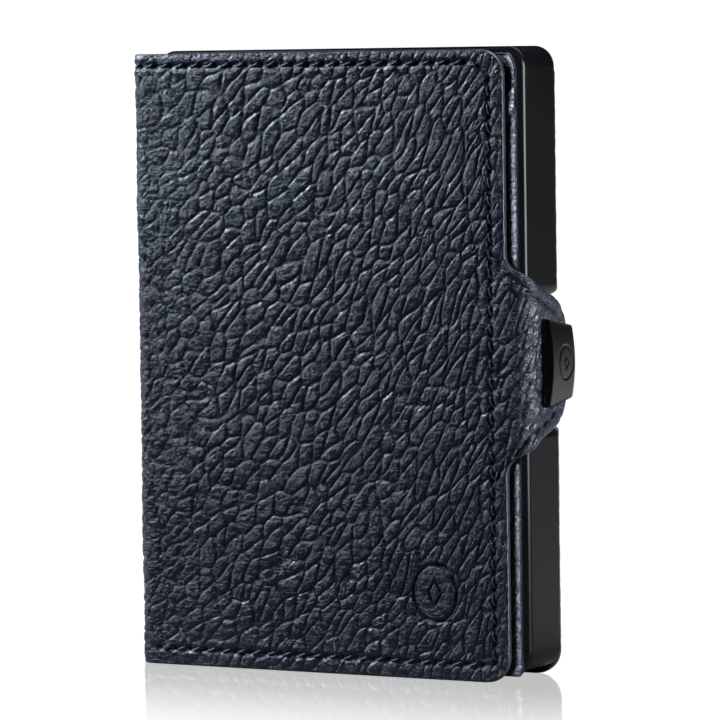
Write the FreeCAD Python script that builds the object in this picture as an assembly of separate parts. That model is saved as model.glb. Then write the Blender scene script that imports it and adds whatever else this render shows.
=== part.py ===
import FreeCAD, Part
import math
import os

# A card holder: a hard case with a card ejector, wrapped by a leather cover that folds round its left side
# and closes with a tab over its right side. It stands on its lower edges: X is the width (the spine is at
# the left, the closure tab at the right), Y the depth (the cover faces -Y) and Z the height.
# Lengths are in mm, measured from the spine's outer face, the cover's outer face and the floor.
V = FreeCAD.Vector

# Driving dimensions
DEPTH = 15.5                                 # over the leather, front to back
COVER_W, COVER_H, COVER_R = 70.1, 101.0, 4.2   # front panel: width, height, free corners' radius
LEATHER_T, BOARD_T, LINING_T = 0.9, 0.3, 0.3   # layers of the front panel
FOLD_R = 3.0                                 # outer radius of the two spine folds

CASE_L, CASE_R = 3.4, 72.4                   # case: left and right sides
CASE_F, CASE_B = 3.5, 13.9                   # case: front and back faces
CASE_Z0, CASE_Z1 = 1.35, 101.5               # case: bottom and top
CASE_CORNER_R, CASE_EDGE_R = 3.4, 0.6
WALL = 1.0
PLATE_T = 0.9                                # back plate, set in between the side walls

CARD_W = 54.0                                # a bank card's short side
BAY_W = CARD_W + 1.0
BAY_Z0 = 13.9                                # cards stand here
FELT_T = 0.4

POCKET_R = 71.6                              # pocket and back panel stop short of the case's right side
POCKET_Z0, POCKET_CORNER_R = 0.9, 3.2
POCKET_F = 1.75                              # pocket's front face, clear of the closed cover
POCKET_T, MESH_T, BACKING_T, GLUE_T = 0.7, 0.25, 0.65, 0.15
MOUTH_Z, MOUTH_SLOPE = 95.9, 1.255           # pocket's mouth: height at the right edge, and its slope there

MID_Z = 51.0                                 # height of the closure's centre line
NOTCH_H, NOTCH_DEPTH, NOTCH_R = 24.5, 3.8, 1.9

TAB_R = 3.5                                  # outer radius of the tab's fold round the case's edge
TAB_LEATHER_T, TAB_LINING_T = 0.9, 0.4
TAB_OUT = 74.5                               # tab's outer face beside the case
TAB_END = 12.9                               # tab's free end
TAB_FOLD_H = 13.9                            # tab's half height at the fold
CLASP_OUT = 76.5                             # clasp's outermost line, which ends the overall width
CLASP_F, CLASP_B = 4.3, 14.1                 # clasp's front end and its turned-in rear face
CLASP_TURN_R = 3.0
CLASP_H0, CLASP_H1 = 14.3, 11.1              # clasp's height at the front end and at the turn
CLASP_CROWN = 0.8
CLASP_LIP = 70.8                             # end of the clasp's turned-in lip

PIVOT = V(11.6, 0, 9.0)                      # ejector lever's pin
PIN_R, BORE_R, HUB_R = 1.2, 1.25, 3.0
ARM_REACH = (46.0, 40.0, 34.0, 28.0, 22.0)   # each arm lifts its card to its own height
FINGER_TIP_Z = 0.2

WIDTH = CLASP_OUT
ORIGIN = V(WIDTH / 2, DEPTH / 2, 0)
BAY_L = (CASE_L + CASE_R - BAY_W) / 2
BAY_R = BAY_L + BAY_W
PLATE_F = CASE_B - 0.1 - PLATE_T             # back plate's inner face
NOTCH_FLOOR = CASE_R - NOTCH_DEPTH
TAB_T = TAB_LEATHER_T + TAB_LINING_T
TAB_CENTRE = V(TAB_OUT - TAB_R, TAB_R, 0)    # centre of the tab's fold
PANEL_T = LEATHER_T + BOARD_T + LINING_T
FRONT_CENTRE = V(FOLD_R, FOLD_R, 0)          # centres of the spine's two folds
BACK_CENTRE = V(FOLD_R, DEPTH - FOLD_R, 0)
FAR = 200.0


def save(node, shape):
    """Writes one sub-part, moved so that the origin is under the middle of the whole object."""
    placed = shape.copy()
    placed.translate(-ORIGIN)
    placed.exportStep("parts/" + node + ".step")


def box(x0, x1, y0, y1, z0, z1):
    return Part.makeBox(x1 - x0, y1 - y0, z1 - z0, V(x0, y0, z0))


def cylinder(axis, radius, start, length):
    return Part.makeCylinder(radius, length, start, axis)


def prism(points, along):
    return Part.Face(Part.makePolygon(points + points[:1])).extrude(along)


def upright_prism(points_xy, z0, z1):
    return prism([V(x, y, z0) for x, y in points_xy], V(0, 0, z1 - z0))


def rounded(shape, radius, wanted):
    """The shape with a fillet on every edge whose middle point passes the test."""
    edges = [e for e in shape.Edges if wanted(e.CenterOfMass, e)]
    return shape.makeFillet(radius, edges)


def plate(x0, x1, y0, y1, z0, z1, left_r=0.0, right_r=0.0):
    """A flat plate facing Y, with its left and right corners rounded."""
    shape = box(x0, x1, y0, y1, z0, z1)
    for x, radius in ((x0, left_r), (x1, right_r)):
        if radius:
            shape = rounded(shape, radius, lambda c, e: abs(c.x - x) < 1e-6 and
                            abs(c.z - z0) * abs(c.z - z1) < 1e-6 and abs(c.y - (y0 + y1) / 2) < 1e-6)
    return shape


def ring(centre, inner, outer, from_deg, to_deg, z0, z1):
    """Part of an upright ring between two angles, counted from +X towards +Y."""
    ring_shape = Part.makeCylinder(outer, z1 - z0, V(centre.x, centre.y, z0), V(0, 0, 1), to_deg - from_deg)
    core = Part.makeCylinder(inner, z1 - z0, V(centre.x, centre.y, z0))
    sector = ring_shape.cut(core)
    sector.rotate(V(centre.x, centre.y, 0), V(0, 0, 1), from_deg)
    return sector


def joined(first, *others):
    return first.multiFuse(list(others)).removeSplitter() if others else first


# Case

def notch(floor_x, margin=0.0):
    """What the closure notch takes away: a through cut with rounded lips and rounded floor corners."""
    half, r, far_x = NOTCH_H / 2 + margin, NOTCH_R, CASE_R + 8
    bend_x, lip_x = floor_x + r, floor_x + 2 * r
    s = r * math.sqrt(0.5)

    def at(x, height, side):
        return V(x, -1, MID_Z + side * height)

    edges = [Part.makeLine(at(far_x, half, -1), at(far_x, half, 1)),
             Part.makeLine(at(floor_x, half - 2 * r, -1), at(floor_x, half - 2 * r, 1))]
    for side in (-1, 1):
        lip = Part.Arc(at(lip_x, half, side), at(bend_x + s, half - s, side), at(bend_x, half - r, side))
        corner = Part.Arc(at(bend_x, half - r, side), at(bend_x - s, half - 2 * r + s, side),
                          at(floor_x, half - 2 * r, side))
        edge = Part.makeLine(at(lip_x, half, side), at(far_x, half, side))
        edges += [lip.toShape(), corner.toShape(), edge]
    return Part.Face(Part.Wire(Part.__sortEdges__(edges))).extrude(V(0, DEPTH + 2, 0))


def lever_slot():
    """Opening in the case's floor for the lever's finger tip."""
    return box(PIVOT.x - 2.4, PIVOT.x + 6.8, 6.2, PLATE_F - 0.1, CASE_Z0 - 1, CASE_Z0 + WALL + 1)


def pin_seat():
    return cylinder(V(0, 1, 0), PIN_R, V(PIVOT.x, CASE_F + 0.4, PIVOT.z), PLATE_F + 0.5 - CASE_F - 0.4)


def screw_places():
    return [V(x, PLATE_F, z) for x in (7.2, 68.6) for z in (20.0, 84.0)]


def screw(place, head_r=1.5, shank_r=0.8, length=4.0):
    """A countersunk screw let into the back plate from behind, with a cross recess."""
    head_back = CASE_B - 0.1
    head = Part.makeCone(shank_r, head_r, 0.7, V(place.x, head_back - 0.7, place.z), V(0, 1, 0))
    shank = cylinder(V(0, 1, 0), shank_r, V(place.x, head_back - length, place.z), length - 0.7)
    body = joined(head, shank)
    for half_x, half_z in ((0.8, 0.14), (0.14, 0.8)):
        body = body.cut(box(place.x - half_x, place.x + half_x, head_back - 0.35, head_back + 1,
                            place.z - half_z, place.z + half_z))
    return body


def screw_space():
    places = screw_places()
    heads = [Part.makeCone(0.8, 1.5, 0.7, V(p.x, CASE_B - 0.8, p.z), V(0, 1, 0)) for p in places]
    shanks = [cylinder(V(0, 1, 0), 0.8, V(p.x, CASE_B - 4.1, p.z), 3.4) for p in places]
    return joined(heads[0], *(heads[1:] + shanks))


def dowel(z):
    return cylinder(V(1, 0, 0), 1.0, V(CASE_R - 4.5, 9.2, z), 4.5)


def dowels():
    return Part.makeCompound([dowel(10.3), dowel(92.0)])


def case_body():
    """Tub with its front wall, sides and floor in one piece, open at the back for the plate."""
    shell = plate(CASE_L, CASE_R, CASE_F, CASE_B, CASE_Z0, CASE_Z1, CASE_CORNER_R, CASE_CORNER_R)
    shell = shell.cut(notch(NOTCH_FLOOR))
    shell = rounded(shell, CASE_EDGE_R, lambda c, e: abs(c.y - CASE_F) < 1e-6 or abs(c.y - CASE_B) < 1e-6)
    room = box(CASE_L + WALL, CASE_R - WALL, CASE_F + WALL, CASE_B + 1, CASE_Z0 + WALL, CASE_Z1 - WALL)
    keep = box(NOTCH_FLOOR - WALL, CASE_R, 0, DEPTH, MID_Z - NOTCH_H / 2 - WALL, MID_Z + NOTCH_H / 2 + WALL)
    mouth = box(BAY_L, BAY_R, CASE_F + WALL, PLATE_F, CASE_Z1 - 5, CASE_Z1 + 1)
    cut = joined(room.cut(keep), mouth)
    return shell.cut(cut).cut(lever_slot()).cut(pin_seat()).cut(dowels()).cut(catch_screw_space())


def case_back_plate():
    gap = 0.05
    sheet = box(CASE_L + WALL + gap, CASE_R - WALL - gap, PLATE_F, CASE_B - 0.1,
                CASE_Z0 + WALL + gap, CASE_Z1 - WALL - gap)
    step = box(NOTCH_FLOOR - WALL - gap, CASE_R, 0, DEPTH,
               MID_Z - NOTCH_H / 2 - WALL - gap, MID_Z + NOTCH_H / 2 + WALL + gap)
    return sheet.cut(step).cut(pin_seat()).cut(screw_space())


def card_guide_left():
    """Rail that fills the case beside the card bay, with a lead-in at the mouth."""
    rail = box(CASE_L + WALL, BAY_L, CASE_F + WALL, PLATE_F, 13.0, CASE_Z1 - WALL)
    pockets = [box(CASE_L + WALL - 1, BAY_L - 1.6, 6.2, PLATE_F - 3.2, z, z + 13.0)
               for z in (24.0, 39.0, 54.0, 69.0)]
    for cut in pockets:
        rail = rail.cut(cut)
    return rail.cut(lead_in(BAY_L, -1)).cut(screw_space())


def lead_in(x, side):
    reach = 1.2
    return prism([V(x + side * reach, 0, CASE_Z1 - WALL), V(x - side * 0.1, 0, CASE_Z1 - WALL + 0.1),
                  V(x - side * 0.1, 0, CASE_Z1 - WALL - 2.5)], V(0, DEPTH, 0))


def card_guide_right():
    """Rail on the clasp side, stepped round the notch, with a foot that the cards stand on."""
    rail = box(BAY_R, CASE_R - WALL, CASE_F + WALL, PLATE_F, CASE_Z0 + WALL, CASE_Z1 - WALL)
    foot = box(BAY_R - 5.5, BAY_R, CASE_F + WALL, PLATE_F, CASE_Z0 + WALL, BAY_Z0)
    step = box(NOTCH_FLOOR - WALL, CASE_R, 0, DEPTH, MID_Z - NOTCH_H / 2 - WALL, MID_Z + NOTCH_H / 2 + WALL)
    rail = joined(rail, foot).cut(step).cut(lead_in(BAY_R, 1))
    return rail.cut(screw_space()).cut(dowels()).cut(catch_magnets()).cut(catch_screw_space())


def felt_pad(y0):
    return plate(BAY_L + 6, BAY_R - 6, y0, y0 + FELT_T, 62.0, CASE_Z1 - 3.5, 1.5, 1.5)


def catch_plate():
    """Steel keeper on the notch's floor, which the clasp's magnets hold."""
    keeper = box(NOTCH_FLOOR, NOTCH_FLOOR + 0.4, 5.0, 12.4, MID_Z - 7.5, MID_Z + 7.5)
    keeper = rounded(keeper, 1.5, lambda c, e: abs(e.Length - 0.4) < 1e-6)
    return keeper.cut(catch_screw_space())


def catch_screw_places():
    return [V(NOTCH_FLOOR + 0.4, 8.7, MID_Z + side * 5.6) for side in (-1, 1)]


def catch_screw_space():
    spaces = []
    for p in catch_screw_places():
        spaces.append(Part.makeCone(1.0, 0.5, 0.4, p, V(-1, 0, 0)))
        spaces.append(cylinder(V(-1, 0, 0), 0.5, p - V(0.4, 0, 0), 2.2))
    return Part.makeCompound(spaces)


def catch_screws():
    screws = []
    for p in catch_screw_places():
        head = Part.makeCone(1.0, 0.5, 0.4, p, V(-1, 0, 0))
        shank = cylinder(V(-1, 0, 0), 0.5, p - V(0.4, 0, 0), 2.2)
        slot = box(p.x - 0.2, p.x + 1, p.y - 0.12, p.y + 0.12, p.z - 1.2, p.z + 1.2)
        screws.append(joined(head, shank).cut(slot))
    return Part.makeCompound(screws)


def catch_magnets():
    return Part.makeCompound([cylinder(V(1, 0, 0), 1.5, V(NOTCH_FLOOR - WALL - 1.2, 8.7, MID_Z + z), 1.2)
                              for z in (-2.4, 2.4)])


# Ejector

def ejector_lever():
    """Five arms stepped in length side by side on one hub, with a finger tip under the case's floor."""
    y0, y1 = 6.5, PLATE_F - 0.25
    hub = cylinder(V(0, 1, 0), HUB_R, V(PIVOT.x, y0, PIVOT.z), y1 - y0)
    seat = cylinder(V(0, 1, 0), 1.9, V(PIVOT.x, CASE_F + WALL + 0.25, PIVOT.z), y0 - CASE_F - WALL - 0.25)
    step = (y1 - y0) / len(ARM_REACH)
    arms = []
    for i, reach in enumerate(ARM_REACH):
        tip = PIVOT.x + reach
        outline = [V(PIVOT.x, y0 + i * step, 6.2), V(tip, y0 + i * step, 11.0),
                   V(tip + 0.4, y0 + i * step, 12.4), V(tip - 1.2, y0 + i * step, 13.4),
                   V(tip - 3.2, y0 + i * step, 13.4), V(tip - 5.2, y0 + i * step, 12.5),
                   V(PIVOT.x, y0 + i * step, 11.9)]
        arms.append(prism(outline, V(0, step, 0)))
    stem = prism([V(PIVOT.x - 1.7, y0, PIVOT.z - 1), V(PIVOT.x + 1.9, y0, PIVOT.z - 1),
                  V(PIVOT.x + 1.5, y0, FINGER_TIP_Z + 0.5), V(PIVOT.x - 1.5, y0, FINGER_TIP_Z + 0.5)],
                 V(0, y1 - y0 - 0.1, 0))
    bore = cylinder(V(0, 1, 0), BORE_R, V(PIVOT.x, 0, PIVOT.z), DEPTH)
    return joined(hub, seat, stem, *arms).cut(bore)


def lever_grip_pad():
    """Ribbed pad under the lever's stem, where a finger pushes."""
    y0, y1 = 6.7, PLATE_F - 0.55
    base = box(PIVOT.x - 1.4, PIVOT.x + 1.4, y0, y1, FINGER_TIP_Z + 0.1, FINGER_TIP_Z + 0.5)
    ribs = [box(PIVOT.x - 1.2 + 0.8 * i, PIVOT.x - 0.8 + 0.8 * i, y0, y1, FINGER_TIP_Z, FINGER_TIP_Z + 0.1)
            for i in range(4)]
    return joined(base, *ribs)


def lever_spring(wire_r=0.18, coil_r=2.3, turns=2.5, pitch=0.45):
    """Torsion spring round the hub's seat: one leg on the rail, one leg on the arms."""
    start_y = 4.95
    helix = Part.makeHelix(pitch, pitch * turns, coil_r)
    section = Part.Wire(Part.makeCircle(wire_r, V(coil_r, 0, 0), V(0, 1, 0)))
    coil = Part.Wire(helix.Edges).makePipeShell([section], True, True)
    coil.rotate(V(0, 0, 0), V(1, 0, 0), -90)
    coil.translate(V(PIVOT.x, start_y, PIVOT.z))
    leg = cylinder(V(0, 0, 1), wire_r, V(PIVOT.x + coil_r, start_y, PIVOT.z), 5.5)
    far_leg = cylinder(V(0, 0, 1), wire_r, V(PIVOT.x - coil_r, start_y + pitch * turns, PIVOT.z), 3.6)
    return Part.makeCompound([coil, leg, far_leg])


# Pocket on the case's front

def pocket_space():
    """The notch's shape a little larger, so that the layers on the case stay clear of the clasp."""
    return notch(NOTCH_FLOOR - 0.3, 0.4)


def pocket_layer(y0, y1, inset=0.0):
    """One layer of the pocket: its top right corner is rounded wide, the other corners are nearly square."""
    x1, z0, z1 = POCKET_R - inset, POCKET_Z0 + inset, COVER_H - 0.1 - inset
    layer = box(4.2 + inset, x1, y0, y1, z0, z1)
    for z, radius in ((z0, 1.2), (z1, POCKET_CORNER_R - inset)):
        layer = rounded(layer, radius, lambda c, e: abs(c.x - x1) < 1e-6 and abs(c.z - z) < 1e-6 and
                        abs(c.y - (y0 + y1) / 2) < 1e-6)
    return layer.cut(pocket_space())


def pocket_front():
    """Leather front whose mouth starts high at the right edge and slants down to the left."""
    y0, y1 = POCKET_F, POCKET_F + POCKET_T
    sheet = pocket_layer(y0, y1)
    room = plate(7.0, POCKET_R - 3.4, y1 - 0.15, y1 + 1, 5.0, COVER_H + 5)
    line = [(POCKET_R + 2, MOUTH_Z + 2 * MOUTH_SLOPE), (POCKET_R - 24, MOUTH_Z - 24 * MOUTH_SLOPE),
            (POCKET_R - 30, MOUTH_Z - 34), (0, MOUTH_Z - 36), (0, FAR), (POCKET_R + 2, FAR)]
    mouth = prism([V(x, 0, z) for x, z in line], V(0, DEPTH, 0))
    return sheet.cut(room).cut(mouth)


# Leather cover

def back_layer(y0, y1):
    sheet = plate(FOLD_R, POCKET_R, y0, y1, 0, COVER_H, 0.0, COVER_R).cut(notch(NOTCH_FLOOR - 0.3, 0.4))
    inner, outer = y0 - BACK_CENTRE.y, y1 - BACK_CENTRE.y
    return joined(sheet, ring(BACK_CENTRE, inner, outer, 90, 135, 0, COVER_H))


def spine_layer(x0, x1):
    """The spine between the middles of its two folds."""
    outer, inner = FOLD_R - x0, FOLD_R - x1
    wall = box(x0, x1, FOLD_R, DEPTH - FOLD_R, 0, COVER_H)
    return joined(wall, ring(BACK_CENTRE, inner, outer, 135, 180, 0, COVER_H),
                  ring(FRONT_CENTRE, inner, outer, 180, 225, 0, COVER_H))


def root_outline(y0, y1):
    """The tab's root seen from the front: flared into the panel's edge, then level round the fold."""
    def edge(side, reach):
        return [V(COVER_W - 1, y0, MID_Z + side * reach), V(COVER_W, y0, MID_Z + side * reach),
                V(COVER_W + 0.9, y0, MID_Z + side * (TAB_FOLD_H + 0.75)),
                V(COVER_W + 2.2, y0, MID_Z + side * TAB_FOLD_H), V(TAB_OUT, y0, MID_Z + side * TAB_FOLD_H)]
    upper, lower = edge(1, 15.6), edge(-1, 16.6)
    return prism(upper + lower[::-1], V(0, y1 - y0, 0))


def front_sheet(y0, y1, inset=0.0):
    return plate(FOLD_R, COVER_W - inset, y0, y1, inset, COVER_H - inset, 0.0, COVER_R - inset)


def front_layer(y0, y1):
    """The front panel with its half of the spine fold and its half of the tab's fold."""
    inner, outer = FRONT_CENTRE.y - y1, FRONT_CENTRE.y - y0
    fold = ring(FRONT_CENTRE, inner, outer, 225, 270, 0, COVER_H)
    tab_inner, tab_outer = TAB_R - y1, TAB_R - y0
    root_flat = box(COVER_W - 1, TAB_CENTRE.x, y0, y1, MID_Z - 20, MID_Z + 20)
    root_fold = ring(TAB_CENTRE, tab_inner, tab_outer, -90, -45, MID_Z - 20, MID_Z + 20)
    root = joined(root_flat, root_fold).common(root_outline(-1, DEPTH))
    return joined(front_sheet(y0, y1), fold, root)


def tab_outline():
    """The tab seen from its side: it narrows from the fold to a rounded end."""
    end_r = 5.2
    top, low = [], []
    for y, half in ((-1.0, TAB_FOLD_H), (2.2, TAB_FOLD_H), (4.2, 12.1), (8.0, 10.3)):
        top.append(V(TAB_CENTRE.x - 5, y, MID_Z + half))
        low.append(V(TAB_CENTRE.x - 5, y, MID_Z - half))
    for i in range(7):
        turn = math.radians(20 + 70 * i / 6)
        y = TAB_END - end_r + end_r * math.sin(turn)
        half = 4.9 + end_r * math.cos(turn)
        top.append(V(TAB_CENTRE.x - 5, y, MID_Z + half))
        low.append(V(TAB_CENTRE.x - 5, y, MID_Z - half))
    return prism(top + low[::-1], V(FAR, 0, 0))


def tab_layer(inner, outer):
    """The tab from the middle of its fold to its free end."""
    fold = ring(TAB_CENTRE, inner, outer, -45, 0, MID_Z - 20, MID_Z + 20)
    side = box(TAB_CENTRE.x + inner, TAB_CENTRE.x + outer, TAB_CENTRE.y, TAB_END, MID_Z - 20, MID_Z + 20)
    return joined(side, fold).common(tab_outline())


def clasp_outline(x_out, z0, z1):
    """The clasp seen from above: a flat side that turns in behind the tab's end."""
    turn = V(x_out - CLASP_TURN_R, CLASP_B - CLASP_TURN_R, 0)
    wall = 1.3
    outer = box(TAB_OUT, x_out, CLASP_F, turn.y, z0, z1)
    bend = ring(turn, CLASP_TURN_R - wall, CLASP_TURN_R, 0, 90, z0, z1)
    lip = box(CLASP_LIP, turn.x, CLASP_B - 1.15, CLASP_B, z0, z1)
    filler = box(TAB_OUT, turn.x + CLASP_TURN_R - wall, turn.y, TAB_END, z0, z1)
    return joined(outer, bend, lip, filler.cut(ring(turn, CLASP_TURN_R - wall, 20, 0, 90, z0, z1)))


def clasp_body():
    """Metal clasp before its mark and rivet holes: crowned outside and tapered towards the turn."""
    z0, z1 = MID_Z - CLASP_H0 / 2, MID_Z + CLASP_H0 / 2
    crown_r = (CLASP_H0 / 2) ** 2 / (2 * CLASP_CROWN) + CLASP_CROWN / 2
    crown = cylinder(V(0, 1, 0), crown_r, V(CLASP_OUT - crown_r, -1, MID_Z), DEPTH + 2)
    side = [(CLASP_F - 1, CLASP_H0 / 2), (CLASP_F, CLASP_H0 / 2), (12.2, CLASP_H1 / 2), (DEPTH, CLASP_H1 / 2)]
    upper = [V(60, y, MID_Z + half) for y, half in side]
    lower = [V(60, y, MID_Z - half) for y, half in side]
    taper = prism(upper + lower[::-1], V(30, 0, 0))
    return clasp_outline(CLASP_OUT, z0, z1).common(crown).common(taper).removeSplitter()


def clasp_cap():
    return clasp_body().cut(clasp_mark()).cut(clasp_rivets())


def clasp_mark():
    """A sunk ring round a small lozenge, 0.18 deep at the clasp's crown line."""
    y, depth = 8.9, 0.22
    bottom = CLASP_OUT - depth
    ring_out = cylinder(V(1, 0, 0), 2.35, V(bottom, y, MID_Z), 2)
    ring_in = cylinder(V(1, 0, 0), 2.05, V(bottom - 1, y, MID_Z), 4)
    half = 0.85
    lozenge = prism([V(bottom, y - half, MID_Z), V(bottom, y, MID_Z + 1.35), V(bottom, y + half, MID_Z),
                     V(bottom, y, MID_Z - 1.35)], V(2, 0, 0))
    return Part.makeCompound([ring_out.cut(ring_in), lozenge])


def rivet_places():
    return [V(0, 8.7, MID_Z + side * 4.6) for side in (-1, 1)]


def clasp_rivets():
    """Two rivets through the base, the lining and the leather into the cap."""
    x0, x1 = TAB_OUT - TAB_T - 1.2, TAB_OUT + 0.8
    return Part.makeCompound([cylinder(V(1, 0, 0), 0.7, V(x0, p.y, p.z), x1 - x0) for p in rivet_places()])


def clasp_base():
    """Block behind the tab, inside the notch, that holds the magnets against the keeper."""
    x1 = TAB_OUT - TAB_T
    block = box(CLASP_LIP, x1, 5.6, 12.4, MID_Z - 6.2, MID_Z + 6.2)
    block = rounded(block, 1.2, lambda c, e: abs(e.Length - (x1 - CLASP_LIP)) < 1e-6)
    return block.cut(clasp_magnets()).cut(clasp_rivets())


def clasp_magnets():
    return Part.makeCompound([cylinder(V(1, 0, 0), 1.5, V(CLASP_LIP, 8.7, MID_Z + z), 1.2)
                              for z in (-2.4, 2.4)])


def tab_pieces():
    leather = tab_layer(TAB_R - TAB_LEATHER_T, TAB_R)
    lining = tab_layer(TAB_R - TAB_T, TAB_R - TAB_LEATHER_T)
    return [layer.cut(clasp_rivets()).cut(clasp_body()) for layer in (leather, lining)]


def main():
    os.makedirs("parts", exist_ok=True)
    save("case_body", case_body())
    save("case_back_plate", case_back_plate())
    save("back_plate_screws", Part.makeCompound([screw(p) for p in screw_places()]))
    save("side_dowel_pins", dowels())
    save("card_guide_left", card_guide_left())
    save("card_guide_right", card_guide_right())
    save("felt_pad_front", felt_pad(CASE_F + WALL))
    save("felt_pad_back", felt_pad(PLATE_F - FELT_T))
    save("lever_pivot_pin", pin_seat())
    save("lever_spring", lever_spring())
    save("catch_plate", catch_plate())
    save("catch_screws", catch_screws())
    save("catch_magnets", catch_magnets())
    save("ejector_lever", ejector_lever())
    save("lever_grip_pad", lever_grip_pad())

    mesh_y = POCKET_F + POCKET_T
    backing_y = mesh_y + MESH_T
    glue_y = backing_y + BACKING_T
    save("pocket_front", pocket_front())
    save("pocket_mesh_lining", pocket_layer(mesh_y, backing_y, 0.5))
    save("pocket_backing", pocket_layer(backing_y, glue_y, 0.2))
    save("pocket_adhesive", pocket_layer(glue_y, CASE_F, 2.5))

    lining_y = CASE_B + GLUE_T
    save("back_adhesive", plate(5, POCKET_R - 2, CASE_B, lining_y, 4, COVER_H - 3, 2, 3).cut(pocket_space()))
    save("back_panel_lining", back_layer(lining_y, lining_y + 0.45))
    save("back_panel_leather", back_layer(lining_y + 0.45, DEPTH))

    save("spine_leather", spine_layer(0, LEATHER_T))
    save("spine_lining", spine_layer(LEATHER_T, PANEL_T))
    save("front_panel_leather", front_layer(0, LEATHER_T))
    save("front_panel_board", front_sheet(LEATHER_T, LEATHER_T + BOARD_T, 0.3))
    save("front_panel_lining", front_sheet(LEATHER_T + BOARD_T, PANEL_T, 0.15))

    leather, lining = tab_pieces()
    save("tab_leather", leather)
    save("tab_lining", lining)
    save("clasp_cap", clasp_cap())
    save("clasp_base", clasp_base())
    save("clasp_magnets", clasp_magnets())
    save("clasp_rivets", clasp_rivets())


main()
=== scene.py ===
import math

import bpy
import numpy as np
from mathutils import Matrix, Vector

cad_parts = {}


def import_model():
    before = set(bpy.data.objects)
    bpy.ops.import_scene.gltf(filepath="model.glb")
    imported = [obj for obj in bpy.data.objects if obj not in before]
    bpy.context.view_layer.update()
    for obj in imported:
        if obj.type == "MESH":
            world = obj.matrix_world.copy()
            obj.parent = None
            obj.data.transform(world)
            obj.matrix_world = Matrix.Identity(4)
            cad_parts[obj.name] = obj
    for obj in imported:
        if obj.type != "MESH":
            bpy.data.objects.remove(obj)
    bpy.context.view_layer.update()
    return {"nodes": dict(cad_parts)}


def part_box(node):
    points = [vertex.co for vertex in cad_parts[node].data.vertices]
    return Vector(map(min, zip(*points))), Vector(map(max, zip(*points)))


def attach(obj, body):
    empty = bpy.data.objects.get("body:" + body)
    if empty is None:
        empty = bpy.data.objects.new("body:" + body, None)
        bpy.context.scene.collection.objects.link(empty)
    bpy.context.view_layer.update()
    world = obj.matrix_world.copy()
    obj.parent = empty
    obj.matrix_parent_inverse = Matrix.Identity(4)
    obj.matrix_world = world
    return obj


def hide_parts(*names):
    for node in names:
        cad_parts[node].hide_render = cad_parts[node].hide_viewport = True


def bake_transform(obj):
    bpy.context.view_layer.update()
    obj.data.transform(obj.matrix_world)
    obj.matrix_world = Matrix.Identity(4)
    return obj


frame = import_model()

# Looks of the card holder: leather cover with grain, seams and painted edges, pocket, case, clasp, light.
# Shapes are worked out in mm in the shared frame and made in metres. "s" runs along the leather, "z" upward.
MM = 0.001


# ---- places, from the frame

def box_mm(node):
    """Low and high corner of a CAD node, in mm."""
    low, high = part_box(node)
    return low / MM, high / MM


PANEL_LOW, PANEL_HIGH = box_mm("front_panel_leather")
BOARD_LOW, BOARD_HIGH = box_mm("front_panel_board")
SPINE_LOW, SPINE_HIGH = box_mm("spine_leather")
BACK_LOW, BACK_HIGH = box_mm("back_panel_leather")
POCKET_LOW, POCKET_HIGH = box_mm("pocket_front")
TAB_LOW, TAB_HIGH = box_mm("tab_leather")
CLASP_LOW, CLASP_HIGH = box_mm("clasp_cap")
CASE_LOW, CASE_HIGH = box_mm("case_body")
MESH_LOW, MESH_HIGH = box_mm("pocket_mesh_lining")
POCKET_TOP_Z = box_mm("pocket_backing")[1].z + 0.2

FOLD_R, TAB_R = 3.0, 3.5                     # outer radii of the spine folds and of the tab's fold
COVER_H = PANEL_HIGH.z
CORNER_R = 4.2                               # free corners of the leather panels
FRONT_Y, BACK_Y = PANEL_LOW.y, BACK_HIGH.y
FOLD_X = SPINE_LOW.x + FOLD_R                # where the flat panels start
EDGE_X = BOARD_HIGH.x + 0.3                  # front panel's right edge
TAB_FOLD_X = TAB_HIGH.x - TAB_R
MID_Z = (CLASP_LOW.z + CLASP_HIGH.z) / 2
PANEL_T, TAB_T, BACK_T, POCKET_T = 1.5, 1.3, 1.45, 0.68      # thickness of each leather piece
EDGE_S = EDGE_X - FOLD_X                     # the panel's right edge, along the leather
FOLD_S = TAB_FOLD_X - FOLD_X                 # start of the tab's fold
SIDE_S = FOLD_S + TAB_R * math.pi / 2        # start of the tab's flat side
SPINE_S = -(FOLD_R * math.pi / 2 + (BACK_Y - FRONT_Y) / 2 - FOLD_R)   # middle of the spine
FOLD_START_S = -FOLD_R * math.pi / 2 - 0.5   # just inside the spine's flat part
SEAM_S = 2.0                                 # where the two front meshes meet, just past the fold
STITCH = 2.9                                 # stitch length with its gap
SEAM_CUT = 2.4                               # the seam cuts across the panel's corner by this much
NOTCH_X = CASE_HIGH.x - 4.1                  # floor of the closure notch, in the leather layers
TOP_INSET, BOTTOM_INSET, RIGHT_INSET = 2.0, 2.8, 2.6


# ---- number fields

def hashed(ix, iy, seed):
    """A repeatable random number from 0 to 1 for each whole-number cell."""
    n = (ix.astype(np.int64) * 374761393 + iy.astype(np.int64) * 668265263 + seed * 1442695041) & 0xFFFFFFFF
    n = ((n ^ (n >> 13)) * 1274126177) & 0xFFFFFFFF
    n = ((n ^ (n >> 16)) * 2246822519) & 0xFFFFFFFF
    return ((n ^ (n >> 15)) & 0xFFFFFF) / float(0x1000000)


def noise(x, y, seed):
    """Smooth noise from -1 to 1 with features one unit wide."""
    ix, iy = np.floor(x), np.floor(y)
    fx, fy = x - ix, y - iy
    fx, fy = fx * fx * (3 - 2 * fx), fy * fy * (3 - 2 * fy)
    a, b = hashed(ix, iy, seed), hashed(ix + 1, iy, seed)
    c, d = hashed(ix, iy + 1, seed), hashed(ix + 1, iy + 1, seed)
    return ((a * (1 - fx) + b * fx) * (1 - fy) + (c * (1 - fx) + d * fx) * fy) * 2 - 1


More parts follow.
